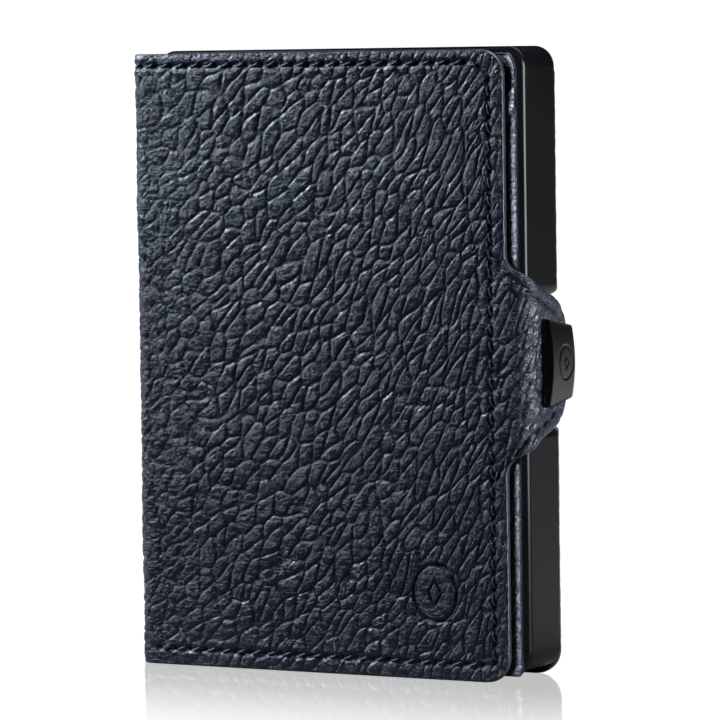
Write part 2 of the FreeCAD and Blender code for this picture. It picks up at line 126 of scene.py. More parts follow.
def cell_gap(x, y, seed):
    """Distance to the border between pebbles: 0 in a crease, up to about 0.6 inside a pebble."""
    ix, iy = np.floor(x), np.floor(y)
    first = np.full(x.shape, 9.0)
    second = np.full(x.shape, 9.0)
    for dx in (-1, 0, 1):
        for dy in (-1, 0, 1):
            cx, cy = ix + dx, iy + dy
            px = cx + 0.5 + 0.9 * (hashed(cx, cy, seed) - 0.5)
            py = cy + 0.5 + 0.9 * (hashed(cx, cy, seed + 7) - 0.5)
            d = np.hypot(x - px, y - py)
            second = np.minimum(second, np.maximum(first, d))
            first = np.minimum(first, d)
    return second - first


def leather_grain(s, z, seed=0):
    """Height in mm of tumbled leather: long pebbles that lean to the right, smaller and finer pebbles on top,
    and soft waves."""
    lean = 0.40 * s + 0.0075 * s * s
    along = 1.25 * s + 0.10 * z + 1.3 * noise(s / 8, z / 8, seed + 1)
    along += 0.3 * noise(s / 2.2, z / 2.2, seed + 12)
    across = z - lean + 1.3 * noise(s / 7, z / 7, seed + 2) + 0.35 * noise(s / 2.4, z / 2.4, seed + 3)
    fine = 1.0 - np.clip((s - 3) / 12, 0, 1)                    # the grain is finer near the spine
    big = cell_gap(along / 4.2, across / 3.0, seed + 4)
    small = cell_gap(along / 2.3 + 5, across / 1.5 + 3, seed + 5)
    tiny = cell_gap(s / 0.62 + 0.3 * noise(s, z, seed + 9), z / 0.55, seed + 6)
    pebbles = 0.28 * (1 - fine * 0.5) * (1 - np.exp(-(big / 0.17) ** 1.5)) + 0.08 * np.minimum(big, 0.5)
    pebbles += (0.090 + 0.03 * fine) * (1 - np.exp(-(small / 0.16) ** 1.4))
    pebbles += 0.060 * np.minimum(tiny / 0.3, 1)
    waves = 0.10 * noise(s / 9, z / 11, seed + 10) + 0.04 * noise(s / 4, z / 4.4, seed + 11)
    return pebbles - 0.40 + 0.09 * fine + waves


def line_distance(s, z, points):
    """Distance to a line of straight runs."""
    best = np.full(s.shape, 1e3)
    for (s0, z0), (s1, z1) in zip(points, points[1:]):
        ds, dz = s1 - s0, z1 - z0
        t = np.clip(((s - s0) * ds + (z - z0) * dz) / (ds * ds + dz * dz), 0, 1)
        best = np.minimum(best, np.hypot(s - s0 - t * ds, z - z0 - t * dz))
    return best


def rows_distance(s, z, rows):
    """Distance to the nearest of several stitch rows."""
    nearest = np.full(s.shape, 1e3)
    for row in rows:
        nearest = np.minimum(nearest, line_distance(s, z, row))
    return nearest


def thinned(h, edge):
    """Leather that gets smoother and lower towards its cut edge."""
    return h * (0.35 + 0.65 * np.clip(edge / 2.0, 0, 1)) - 0.10 * np.exp(-(edge / 0.8) ** 2)


def hole_dent(s, z, rows, near):
    """Needle holes at both ends of every stitch."""
    dent = np.zeros(s.shape)
    close = near < 1.4
    hs, hz = s[close], z[close]
    best = np.full(hs.shape, 9.0)
    for row in rows:
        for point in walk(row, STITCH):
            best = np.minimum(best, np.hypot(hs - point[0], hz - point[1]))
    dent[close] = -0.42 * np.exp(-(best / 0.40) ** 2)
    return dent


def seam_dent(distance):
    """Leather pulled down under the thread, with a faint swell on both sides."""
    return -0.30 * np.exp(-(distance / 0.42) ** 2) + 0.07 * np.exp(-((distance - 1.15) / 0.5) ** 2)


# ---- the leather's path

def front_path(s):
    """Outer surface of the spine, its front fold, the front panel, the tab's fold and the tab."""
    s = np.asarray(s, float)
    turn = np.clip(-s / FOLD_R, 0, math.pi / 2)
    bend = np.clip((s - FOLD_S) / TAB_R, 0, math.pi / 2)
    nx = np.sin(bend) - np.sin(turn)
    ny = -np.cos(turn) * np.cos(bend)
    spine = np.clip(-s - FOLD_R * math.pi / 2, 0, None)
    side = np.clip(s - SIDE_S, 0, None)
    x = FOLD_X + np.clip(s, 0, FOLD_S) - FOLD_R * np.sin(turn) + TAB_R * np.sin(bend)
    y = FRONT_Y + FOLD_R * (1 - np.cos(turn)) + TAB_R * (1 - np.cos(bend)) + spine + side
    return x, y, nx, ny


def back_path(s):
    """The same for the other half of the spine, its back fold and the back panel."""
    s = np.asarray(s, float)
    turn = np.clip(-s / FOLD_R, 0, math.pi / 2)
    spine = np.clip(-s - FOLD_R * math.pi / 2, 0, None)
    x = FOLD_X + np.clip(s, 0, None) - FOLD_R * np.sin(turn)
    y = BACK_Y - FOLD_R * (1 - np.cos(turn)) - spine
    return x, y, -np.sin(turn), np.cos(turn)


def pocket_path(s):
    """The pocket's front face, flat on the case."""
    s = np.asarray(s, float)
    return POCKET_LOW.x + s, np.full(s.shape, POCKET_LOW.y), np.zeros(s.shape), np.full(s.shape, -1.0)


def smooth_line(points, steps=12):
    """Catmull-Rom curve through a few points."""
    p = [np.array(q, float) for q in points]
    p = [2 * p[0] - p[1]] + p + [2 * p[-1] - p[-2]]
    out = []
    for a, b, c, d in zip(p, p[1:], p[2:], p[3:]):
        for i in range(steps):
            t = i / steps
            out.append(0.5 * (2 * b + (c - a) * t + (2 * a - 5 * b + 4 * c - d) * t * t
                              + (3 * b - a - 3 * c + d) * t ** 3))
    out.append(p[-2])
    return np.array(out)


# The tab's outline: (how far along the leather past the panel's edge, half height there)
TAB_OUTLINE = [(0.0, 19.0), (0.02, 17.4), (0.35, 16.1), (1.3, 15.0), (3.2, 14.2), (5.4, 13.1), (7.2, 11.9),
               (9.4, 11.1), (12.0, 10.2), (13.6, 9.2), (14.7, 7.9), (15.5, 6.2), (15.8, 3.0), (15.85, 0.0)]
TAB_CURVE = smooth_line(TAB_OUTLINE)


def tab_reach(z):
    """How far the leather runs past the panel's edge at a height."""
    half = np.abs(z - MID_Z)
    return np.interp(half, TAB_CURVE[::-1, 1], TAB_CURVE[::-1, 0], right=0.0)


def corner_inset(z, top, radius, bottom=0.0):
    """How much a panel's rounded free corners take off its width at a height."""
    into = np.maximum(z - (top - radius), (bottom + radius) - z)
    into = np.clip(into, 0, radius)
    return radius - np.sqrt(radius ** 2 - into ** 2)


# ---- mesh builder

RIM_R = 0.32                                 # how much a leather edge rounds over


def spaced(low, high, step, dense=()):
    """Positions from low to high, closer together inside the dense stretches (start, end, step)."""
    out = [low]
    while out[-1] < high - 1e-6:
        here = step
        for start, end, fine in dense:
            if start - 1 < out[-1] < end + 1:
                here = fine
        out.append(min(high, out[-1] + here))
    return np.array(out)


def mesh_object(name, points, faces, materials, face_material, leather=None, height=None):
    mesh = bpy.data.meshes.new(name)
    mesh.from_pydata((np.asarray(points) * MM).tolist(), [], faces)
    for m in materials:
        mesh.materials.append(m)
    mesh.polygons.foreach_set("material_index", np.asarray(face_material, np.int32))
    mesh.polygons.foreach_set("use_smooth", np.ones(len(faces), bool))
    if leather is not None:
        a = mesh.attributes.new("leather_mm", "FLOAT_VECTOR", "POINT")
        a.data.foreach_set("vector", np.asarray(leather, np.float32).ravel())
    if height is not None:
        a = mesh.attributes.new("grain", "FLOAT", "POINT")
        a.data.foreach_set("value", np.asarray(height, np.float32))
    mesh.update()
    obj = bpy.data.objects.new(name, mesh)
    bpy.context.scene.collection.objects.link(obj)
    return obj


class Build:
    """Points and faces of one sheet while it is put together."""

    def __init__(self, path):
        self.path = path
        self.points, self.leather, self.grain, self.faces, self.kind = [], [], [], [], []
        self.total = 0

    def add(self, s, z, depth, grain, texture_depth):
        """Points at a depth below the outer surface. Returns their numbers."""
        x, y, nx, ny = self.path(s)
        self.points.append(np.stack([x - nx * depth, y - ny * depth, z], -1).reshape(-1, 3))
        self.leather.append(np.stack([s, z, texture_depth], -1).reshape(-1, 3))
        self.grain.append(np.ravel(grain))
        self.total += s.size
        return np.arange(self.total - s.size, self.total)

    def add_faces(self, faces, kind):
        self.faces += faces
        self.kind += [kind] * len(faces)


def rim_directions(s, z, loop, corners, seams):
    """Which way the cut edge faces all round, and where it grows. Along a seam it doesn't."""
    ls, lz = s.ravel()[loop], z.ravel()[loop]
    ts = np.roll(ls, -1) - np.roll(ls, 1)
    tz = np.roll(lz, -1) - np.roll(lz, 1)
    length = np.hypot(ts, tz)
    out_s, out_z = tz / length, -ts / length
    grow = np.ones(len(loop))
    low_right, high_right, high_left = corners
    if "left" in seams:
        grow[high_left + 1:] = 0
        out_s[high_left], out_z[high_left] = 0, 1
        out_s[0], out_z[0] = 0, -1
    if "right" in seams:
        grow[low_right + 1:high_right] = 0
        out_s[low_right], out_z[low_right] = 0, -1
        out_s[high_right], out_z[high_right] = 0, 1
    return ls, lz, out_s * grow, out_z * grow


def add_rim(build, edge, heights, loop, thick, rim):
    """Rings from the outer face round the cut edge to the inside: (outward, down, share of the thickness)."""
    ls, lz, out_s, out_z = edge
    rings = [(rim * 0.55, rim * 0.12, 0.0), (rim * 0.9, rim * 0.45, 0.0), (rim, rim, 0.0),
             (rim * 1.08, 0.0, 0.5), (rim, -rim, 1.0), (rim * 0.6, -rim * 0.25, 1.0), (0.0, 0.0, 1.0)]
    previous = loop
    for k, (out, down, share) in enumerate(rings):
        depth = thick * share + down - heights * (1 - share) * max(0.0, 1 - k / 4)
        grain = heights * max(0.0, 1 - k / 3)
        here = build.add(ls + out_s * out, lz + out_z * out, depth, grain, depth)
        band = np.stack([previous, here, np.roll(here, -1), np.roll(previous, -1)], -1)
        build.add_faces(band[:, ::-1].tolist(), 0 if k < 2 else 1)
        previous = here
    return previous


def add_inside(build, s, z, index, ring_of, thickness):
    """The inner face: coarse where it is flat, finer across a fold, and joined to every point of the rim."""
    rows, cols = s.shape
    _, _, nx, ny = build.path(s)
    bend = np.abs(nx * ny)[rows // 2] > 1e-4
    pick_c = sorted(set(range(0, cols, 14)) | {cols - 1} | {c for c in range(0, cols, 4) if bend[c]})
    pick_r = sorted(set(range(0, rows, 24)) | {rows - 1})
    pick = np.ix_(pick_r, pick_c)
    inner = ring_of[index[pick]]
    free = inner < 0
    depth = thickness(s[pick][free])
    inner[free] = build.add(s[pick][free], z[pick][free], depth, np.zeros(free.sum()), depth)
    faces = []
    for i, (r0, r1) in enumerate(zip(pick_r, pick_r[1:])):
        for j, (c0, c1) in enumerate(zip(pick_c, pick_c[1:])):
            low = ring_of[index[r0, c0 + 1:c1]].tolist() if r0 == 0 else []
            right = ring_of[index[r0 + 1:r1, c1]].tolist() if c1 == cols - 1 else []
            high = ring_of[index[r1, c0 + 1:c1]].tolist()[::-1] if r1 == rows - 1 else []
            left = ring_of[index[r0 + 1:r1, c0]].tolist()[::-1] if c0 == 0 else []
            face = [int(inner[i, j])] + low + [int(inner[i, j + 1])] + right
            face += [int(inner[i + 1, j + 1])] + high + [int(inner[i + 1, j])] + left
            faces.append(face[::-1])
    build.add_faces(faces, 2)


def sheet_mesh(name, path, s, z, height, thickness, materials, seams=(), rim=RIM_R):
    """A closed piece of leather. s and z are grids of the outer face's points, seams the sides ("left",
    "right") where it meets its neighbour flush. materials are the outside, the cut edge and the inside."""
    rows, cols = s.shape
    build = Build(path)
    h = height(s, z)
    index = build.add(s, z, -h, h, 0 * s).reshape(rows, cols)
    quads = np.stack([index[:-1, :-1], index[:-1, 1:], index[1:, 1:], index[1:, :-1]], -1)
    build.add_faces(quads.reshape(-1, 4).tolist(), 0)
    loop = np.concatenate([index[0, :], index[1:, -1], index[-1, -2::-1], index[-2:0:-1, 0]])
    corners = (cols - 1, cols + rows - 2, 2 * cols + rows - 3)
    edge = rim_directions(s, z, loop, corners, seams)
    last = add_rim(build, edge, h.ravel()[loop], loop, thickness(edge[0]), rim)
    ring_of = np.full(rows * cols, -1)
    ring_of[loop] = last
    add_inside(build, s, z, index, ring_of, thickness)
    faces = build.faces
    if path(np.array([s[rows // 2, cols // 2]]))[3][0] > 0:     # the back's grid runs the other way round
        faces = [f[::-1] for f in faces]
    obj = mesh_object(name, np.concatenate(build.points), faces, materials, build.kind,
                      np.concatenate(build.leather), np.concatenate(build.grain))
    for side, line in (("left", index[:, 0]), ("right", index[:, -1])):
        if side in seams:
            sharpen(obj.data, line)
    return obj


def sharpen(mesh, line):
    """Marks the edges along a seam sharp, so that the shading carries on into the neighbouring piece."""
    ends = np.zeros(len(mesh.edges) * 2, np.int32)
    mesh.edges.foreach_get("vertices", ends)
    on_line = np.isin(ends.reshape(-1, 2), line).all(axis=1)
    mark = mesh.attributes.get("sharp_edge") or mesh.attributes.new("sharp_edge", "BOOLEAN", "EDGE")
    before = np.zeros(len(mesh.edges), bool)
    mark.data.foreach_get("value", before)
    mark.data.foreach_set("value", before | on_line)


# ---- thread

def walk(points, step, start=0.0):
    """Points every step along a line of straight runs."""
    p = np.array(points, float)
    lengths = np.hypot(*(p[1:] - p[:-1]).T)
    run = np.concatenate([[0], np.cumsum(lengths)])
    at = np.arange(start, run[-1] + 1e-6, step)
    return np.stack([np.interp(at, run, p[:, 0]), np.interp(at, run, p[:, 1])], -1)


STRAND_RINGS, STRAND_SIDES, THREAD_R = 13, 10, 0.19


def strand(path, a, b, lift, wobble):
    """One stitch from hole a towards hole b: a two-ply strand that rises from one and dips into the other."""
    run = b - a
    length = float(np.hypot(*run))
    along, side = run / length, np.array([-run[1], run[0]]) / length
    t = np.linspace(0, 1, STRAND_RINGS)
    reach = 0.15 + 0.66 * t
    slant = (t - 0.5) * (0.62 + 0.25 * wobble)
    middle = a + along * (length * reach)[:, None] + side * slant[:, None]
    rise = lift + 0.17 - 0.62 * np.abs(2 * t - 1) ** 4 + 0.05 * wobble
    phi = np.arange(STRAND_SIDES) * 2 * math.pi / STRAND_SIDES
    points, leather = [], []
    for k in range(STRAND_RINGS):
        twist = 1 + 0.17 * np.cos(2 * phi - 9.0 * t[k])
        r = THREAD_R * twist * (0.62 if k in (0, STRAND_RINGS - 1) else 1.0)
        off, up = r * np.cos(phi), r * np.sin(phi)
        ps = middle[k, 0] + side[0] * off
        px, py, nx, ny = path(ps)
        h = rise[k] + up
        points.append(np.stack([px + nx * h, py + ny * h, middle[k, 1] + side[1] * off], -1))
        leather.append(np.stack([ps, points[-1][:, 2], np.full(STRAND_SIDES, length * reach[k])], -1))
    return points, leather


def strand_faces(first):
    """Faces of a closed strand whose points start at number first."""
    base = first + np.arange(STRAND_RINGS * STRAND_SIDES).reshape(STRAND_RINGS, STRAND_SIDES)
    turned = np.roll(base, -1, 1)
    quads = np.stack([base[:-1], turned[:-1], turned[1:], base[1:]], -1).reshape(-1, 4)
    return quads.tolist() + [base[0][::-1].tolist(), base[-1].tolist()]


def stitches(name, path, rows_of_points, lift, material, seed=3):
    """One mesh of separate stitches, one between each two neighbouring points of a row."""
    points, faces, leather = [], [], []
    for line in rows_of_points:
        for i, (a, b) in enumerate(zip(line, line[1:])):
            if np.hypot(*(b - a)) < 0.5:
                continue
            wobble = float(hashed(np.array(float(i)), np.array(float(len(line))), seed)) - 0.5
            faces += strand_faces(len(points) * STRAND_SIDES)
            more_points, more_leather = strand(path, a, b, lift, wobble)
            points += more_points
            leather += more_leather
    return mesh_object(name, np.concatenate(points), faces, [material], [0] * len(faces),
                       np.concatenate(leather))


# ---- materials

def new_material(name):
    mat = bpy.data.materials.new(name)
    mat.use_nodes = True
    tree = mat.node_tree
    shader = tree.nodes["Principled BSDF"]
    return mat, tree, shader


def node(tree, kind, **inputs):
    made = tree.nodes.new(kind)
    for key, value in inputs.items():
        name = key.replace("_", " ")
        if name in made.inputs:
            made.inputs[name].default_value = value
        else:
            setattr(made, key, value)
    return made


def link(tree, source, target):
    tree.links.new(source, target)


def fed(tree, kind, source, **inputs):
    """A node whose first input comes from source."""
    made = node(tree, kind, **inputs)
    link(tree, source, made.inputs[0])
    return made


def ramp(tree, source, stops):
    made = tree.nodes.new("ShaderNodeValToRGB")
    while len(made.color_ramp.elements) < len(stops):
        made.color_ramp.elements.new(0.5)
    for element, (place, colour) in zip(made.color_ramp.elements, stops):
        element.position = place
        element.color = (*colour, 1.0)
    link(tree, source, made.inputs["Fac"])
    return made.outputs["Color"]


def mix_colour(tree, fac, a, b):
    made = tree.nodes.new("ShaderNodeMix")
    made.data_type = "RGBA"
    for value, socket in ((fac, made.inputs[0]), (a, made.inputs[6]), (b, made.inputs[7])):
        if hasattr(value, "links"):
            link(tree, value, socket)
        elif isinstance(value, tuple):
            socket.default_value = (*value, 1.0)
        else:
            socket.default_value = value
    return made.outputs[2]


def attribute(tree, name):
    made = tree.nodes.new("ShaderNodeAttribute")
    made.attribute_name = name
    return made


def mapped(tree, source, scale, turn=0.0):
    made = tree.nodes.new("ShaderNodeMapping")
    made.inputs["Scale"].default_value = scale
    made.inputs["Rotation"].default_value = (0, 0, turn)
    link(tree, source, made.inputs["Vector"])
    return made.outputs["Vector"]


def bump(tree, height, distance, strength, previous=None):
    made = tree.nodes.new("ShaderNodeBump")
    made.inputs["Distance"].default_value = distance
    made.inputs["Strength"].default_value = strength
    link(tree, height, made.inputs["Height"])
    if previous is not None:
        link(tree, previous, made.inputs["Normal"])
    return made.outputs["Normal"]


def leather_normal(tree, where, fibre, micro):
    """Bump finer than the modelled grain: short creases, pores and fibre."""
    across = mapped(tree, where, (0.55, 1.6, 0.3), -0.75)
    creases = fed(tree, "ShaderNodeTexNoise", across, Scale=0.62, Detail=5.0, Roughness=0.62, Distortion=0.7)
    centred = fed(tree, "ShaderNodeMath", creases.outputs["Fac"], operation="SUBTRACT")
    centred.inputs[1].default_value = 0.5
    fold = fed(tree, "ShaderNodeMath", centred.outputs[0], operation="ABSOLUTE")
    crease = fed(tree, "ShaderNodeMapRange", fold.outputs[0], From_Max=0.05)
    turned = mapped(tree, where, (1, 1, 0.3), 0.5)
    pores = fed(tree, "ShaderNodeTexVoronoi", turned, Scale=1.9, feature="DISTANCE_TO_EDGE")
    flat_pores = fed(tree, "ShaderNodeMapRange", pores.outputs["Distance"], From_Max=0.16)
    normal = bump(tree, crease.outputs["Result"], 0.00006 * micro, 0.8)
    normal = bump(tree, flat_pores.outputs["Result"], 0.00003 * micro, 0.8, normal)
    return bump(tree, fibre, 0.00003 * micro, 0.7, normal)


def leather_material(name, dark, light, rough, micro):
    """Leather with pore bump on top of the modelled grain, with painted light on the raised pebbles and
    painted shade in the creases.
    """
    mat, tree, shader = new_material(name)
    where = attribute(tree, "leather_mm").outputs["Vector"]
    grain = attribute(tree, "grain").outputs["Fac"]
    patch = fed(tree, "ShaderNodeTexNoise", where, Scale=0.14, Detail=3.0, Roughness=0.6)
    # Painted shade and light: the grain height darkens the colour in the creases and lightens it on the
    # pebble tops.
    raised = fed(tree, "ShaderNodeMapRange", grain, From_Min=-0.30, From_Max=0.12)
    deep, bright = tuple(0.8 * c for c in dark), tuple(1.1 * c for c in light)
    tone = ramp(tree, raised.outputs["Result"], [(0.0, deep), (0.45, dark), (1.0, light)])
    varied = mix_colour(tree, patch.outputs["Fac"], deep, bright)
    link(tree, mix_colour(tree, 0.3, tone, varied), shader.inputs["Base Color"])
    fibre = fed(tree, "ShaderNodeTexNoise", where, Scale=4.2, Detail=4.0, Roughness=0.65).outputs["Fac"]
    link(tree, leather_normal(tree, where, fibre, micro), shader.inputs["Normal"])
    shine = fed(tree, "ShaderNodeMapRange", fibre, To_Min=rough - 0.07, To_Max=rough + 0.12)
    link(tree, shine.outputs["Result"], shader.inputs["Roughness"])
    shader.inputs["Specular IOR Level"].default_value = 0.55
    return mat


def painted_edge_material():
    """Edge paint: smooth, a little greyer than the leather, slightly uneven."""
    mat, tree, shader = new_material("painted_edge")
    where = attribute(tree, "leather_mm").outputs["Vector"]
    uneven = fed(tree, "ShaderNodeTexNoise", where, Scale=0.8, Detail=3.0)
    stops = [(0.3, (0.018, 0.019, 0.022)), (0.7, (0.036, 0.035, 0.038))]
    link(tree, ramp(tree, uneven.outputs["Fac"], stops), shader.inputs["Base Color"])
    link(tree, bump(tree, uneven.outputs["Fac"], 0.0001, 0.5), shader.inputs["Normal"])
    shader.inputs["Roughness"].default_value = 0.36
    return mat


def thread_material():
    """Dark indigo thread with a twist and a soft sheen."""
    mat, tree, shader = new_material("thread")
    where = attribute(tree, "leather_mm").outputs["Vector"]
    fuzz = fed(tree, "ShaderNodeTexNoise", where, Scale=5.0, Detail=3.0)
    link(tree, ramp(tree, fuzz.outputs["Fac"], [(0.35, (0.006, 0.004, 0.014)), (0.7, (0.045, 0.033, 0.080))]),
         shader.inputs["Base Color"])
    link(tree, bump(tree, fuzz.outputs["Fac"], 0.0001, 0.6), shader.inputs["Normal"])
    shader.inputs["Roughness"].default_value = 0.5
    shader.inputs["Sheen Weight"].default_value = 0.3
    return mat


def solid_material(name, colour, rough, metal=0.0, grain_scale=2500.0, grain_depth=0.00002, spread=0.25,
                   specular=0.5, stretch=(1, 1, 1)):
    """Metal or moulded plastic: fine surface texture and a slight variation in tone and polish."""
    mat, tree, shader = new_material(name)
    where = node(tree, "ShaderNodeTexCoord").outputs["Object"]
    fine = fed(tree, "ShaderNodeTexNoise", mapped(tree, where, stretch), Scale=grain_scale, Detail=2.0)
    broad = fed(tree, "ShaderNodeTexNoise", where, Scale=60.0, Detail=4.0)
    low, high = tuple(c * (1 - spread) for c in colour), tuple(c * (1 + spread) for c in colour)
    link(tree, ramp(tree, broad.outputs["Fac"], [(0.3, low), (0.7, high)]), shader.inputs["Base Color"])
    polish = fed(tree, "ShaderNodeMapRange", broad.outputs["Fac"], To_Min=rough * 0.85, To_Max=rough * 1.2)
    link(tree, polish.outputs["Result"], shader.inputs["Roughness"])
    link(tree, bump(tree, fine.outputs["Fac"], grain_depth, 0.35), shader.inputs["Normal"])
    shader.inputs["Metallic"].default_value = metal
    shader.inputs["Specular IOR Level"].default_value = specular
    return mat


def textile_material():
    """Lining cloth: violet dots on a black ground."""
    mat, tree, shader = new_material("dotted_textile")
    where = attribute(tree, "leather_mm").outputs["Vector"]
    diagonal = mapped(tree, where, (1, 1, 0), math.pi / 4)
    dots = fed(tree, "ShaderNodeTexVoronoi", diagonal, Scale=2.0, Randomness=0.0)
    stops = [(0.30, (0.055, 0.042, 0.095)), (0.42, (0.003, 0.002, 0.005))]
    link(tree, ramp(tree, dots.outputs["Distance"], stops), shader.inputs["Base Color"])
    link(tree, bump(tree, dots.outputs["Distance"], 0.0002, 0.9), shader.inputs["Normal"])
    shader.inputs["Roughness"].default_value = 0.75
    shader.inputs["Sheen Weight"].default_value = 0.3
    return mat


LEATHER = leather_material("navy_leather", (0.0020, 0.0052, 0.0150), (0.0045, 0.0100, 0.0260), 0.32, 1.0)
LINING = leather_material("lining_leather", (0.0130, 0.0150, 0.0210), (0.0190, 0.0220, 0.0300), 0.55, 0.5)
EDGE = painted_edge_material()
THREAD = thread_material()
TEXTILE = textile_material()
ANODISED = solid_material("anodised_black", (0.0008, 0.0008, 0.0009), 0.20, 0.0, 4000.0, 0.000012,
                          specular=0.05)
CLASP_METAL = solid_material("clasp_metal", (0.014, 0.014, 0.015), 0.34, 0.25, 5000.0, 0.000012)
PLASTIC = solid_material("moulded_plastic", (0.014, 0.014, 0.015), 0.5, 0.0, 2500.0, 0.00004)
STEEL = solid_material("brushed_steel", (0.42, 0.42, 0.43), 0.3, 1.0, 900.0, 0.00003, 0.1, stretch=(1, 1, 14))
BLACK_STEEL = solid_material("blackened_steel", (0.02, 0.02, 0.022), 0.4, 0.6, 2500.0, 0.00002)
NICKEL = solid_material("nickel", (0.55, 0.53, 0.50), 0.22, 1.0, 2500.0, 0.00001, 0.08)
FELT = solid_material("felt", (0.012, 0.012, 0.013), 0.95, 0.0, 5200.0, 0.0002, 0.5)
GLUE = solid_material("adhesive_film", (0.45, 0.42, 0.34), 0.5, 0.0, 1500.0, 0.00003)
RUBBER = solid_material("rubber", (0.012, 0.012, 0.012), 0.7, 0.0, 3000.0, 0.00006)


# ---- leather pieces

def tab_row(side):
    """The tab's own row of stitches, a little inside its outline, from the right row to beside the clasp."""
    start = [(-RIGHT_INSET, 18.9 if side < 0 else 17.6), (0.9, 14.6 if side < 0 else 13.9)]
    rest = [(4.3, 11.6), (6.8, 10.3), (9.4, 9.3), (11.8, 8.3), (13.1, 7.3), (13.7, 6.1)]
    return [(EDGE_S + a, MID_Z + side * b) for a, b in start + rest]


def front_rows():
    """Stitch lines of the front: top and right in one run with a cut corner, bottom, and the tab's two."""
    top, right = COVER_H - TOP_INSET, EDGE_S - RIGHT_INSET
    outer = [(SPINE_S, top), (right - SEAM_CUT, top), (right, top - SEAM_CUT), (right, BOTTOM_INSET)]
    bottom = [(1.3, BOTTOM_INSET), (right, BOTTOM_INSET)]
    return [outer, bottom, tab_row(1), tab_row(-1)]


def emblem(s, z):
    """A plain sunk ring round a small lozenge, pressed into the leather."""
    ds, dz = s - (EDGE_S - 13.4), z - 14.0
    r = np.hypot(ds / 0.86, dz)
    line = np.exp(-(np.abs(r - 4.6) / 0.40) ** 2.4)
    inner = np.exp(-(np.abs(r - 3.75) / 0.16) ** 2)
    lozenge = np.abs(ds) / 0.72 + np.abs(dz) / 1.15
    mark = np.exp(-(np.abs(lozenge - 1.75) / 0.34) ** 2.4)
    calm = np.clip(1 - (r - 4.2) / 1.8, 0, 1)
    return -0.46 * np.maximum(line, mark) - 0.08 * inner, calm


FRONT_ROWS = front_rows()


def front_height(s, z):
    """Outer face of the front leather: grain, seams, mark, and edges that thin out."""
    h = leather_grain(s, z)
    mark, calm = emblem(s, z)
    h = h * (1 - 0.75 * calm) + mark
    reach = EDGE_S + tab_reach(z)
    right = reach - s
    edge = np.minimum(np.minimum(z, COVER_H - z), np.where(reach > EDGE_S + 0.5, right * 0.8, right))
    h = thinned(h, edge)
    nearest = rows_distance(s, z, FRONT_ROWS)
    h = h * (1 - 0.6 * np.exp(-(nearest / 0.7) ** 2)) + seam_dent(nearest)
    return h + hole_dent(s, z, FRONT_ROWS[:2], nearest)


def even(thick):
    """The same thickness all over."""
    return lambda s: np.full(np.shape(s), thick)


def grid(z_values, s_low, s_high, fractions):
    """Rows of constant height, each from s_low to s_high in the same fractions."""
    z = np.repeat(z_values[:, None], len(fractions), 1)
    low = np.broadcast_to(np.asarray(s_low, float), z_values.shape)[:, None]
    high = np.broadcast_to(np.asarray(s_high, float), z_values.shape)[:, None]
    return low + (high - low) * fractions[None, :], z


def front_thickness(s):
    """The front panel's layers are thicker than the tab's."""
    return np.interp(s, [EDGE_S - 1.5, EDGE_S + 0.5], [PANEL_T, TAB_T])


STEP = 0.2
Z_ROWS = spaced(RIM_R, COVER_H - RIM_R, STEP, [(RIM_R, CORNER_R * 0.4, STEP * 0.6), (8.2, 19.6, STEP * 0.65),
                                               (COVER_H - CORNER_R * 0.4, COVER_H, STEP * 0.6)])


PANEL_CORNERS = corner_inset(Z_ROWS, COVER_H - RIM_R, CORNER_R - RIM_R, RIM_R)
COVER_LAYERS = [LEATHER, EDGE, LINING]


def tailed_grid(flat, keep_s, reach, ends):
    """Evenly spaced columns up to keep_s, then columns that follow the piece's shaped right edge."""
    tail = keep_s + (reach - keep_s)[:, None] * ends[None, :]
    s = np.concatenate([np.repeat(flat[None, :], len(Z_ROWS), 0), tail], 1)
    return s, np.repeat(Z_ROWS[:, None], s.shape[1], 1)


def front_panel():
    """The front panel right of the fold, and the tab, in one piece of leather."""
    keep_s = EDGE_S - 6.5
    flat = spaced(SEAM_S, keep_s, STEP, [(EDGE_S - 18.6, EDGE_S - 8.0, STEP * 0.65)])
    ends = spaced(0.0, 1.0, 1.0 / round(15.0 / STEP))[1:]
    s, z = tailed_grid(flat, keep_s, EDGE_S - RIM_R + tab_reach(Z_ROWS) - PANEL_CORNERS, ends)
    obj = sheet_mesh("front_leather", front_path, s, z, front_height, front_thickness, COVER_LAYERS,
                     seams=("left",))
    blend_tab(obj)
    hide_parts("front_panel_leather", "front_panel_board", "front_panel_lining", "tab_leather",
                "tab_lining")


def on_path(path, s, z):
    """A point of the outer surface, in metres."""
    x, y, _, _ = path(np.array([s]))
    return (x[0] * MM, y[0] * MM, z * MM)


def blend_tab(obj):
    """Bakes a piece's transform into its mesh. The ends of the tab's fold are worked out but not used."""
    start, end = on_path(front_path, FOLD_S - 0.6, MID_Z), on_path(front_path, SIDE_S + 0.6, MID_Z)
    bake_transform(obj)


def blend_front_fold(obj):
    """Bakes a piece's transform into its mesh. The ends of the fold between the spine and the front panel are
    worked out but not used.
    """
    start, end = on_path(front_path, FOLD_START_S, 50), on_path(front_path, 0.5, 50)
    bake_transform(obj)


def blend_back_fold(obj):
    """Bakes a piece's transform into its mesh. The ends of the fold between the spine and the case are worked
    out but not used.
    """
    start, end = on_path(back_path, FOLD_START_S, 50), on_path(back_path, 0.5, 50)
    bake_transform(obj)


def spine_front():
    """Front half of the spine, with its fold."""
    s, z = grid(Z_ROWS, SPINE_S, SEAM_S, np.linspace(0, 1, round((SEAM_S - SPINE_S) / STEP) + 1))
    obj = sheet_mesh("spine_leather_front", front_path, s, z, front_height, front_thickness, COVER_LAYERS,
                     seams=("left", "right"))
    blend_front_fold(obj)
    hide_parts("spine_leather", "spine_lining")


BACK_S = BACK_HIGH.x - FOLD_X                # the back panel's right edge, along the leather


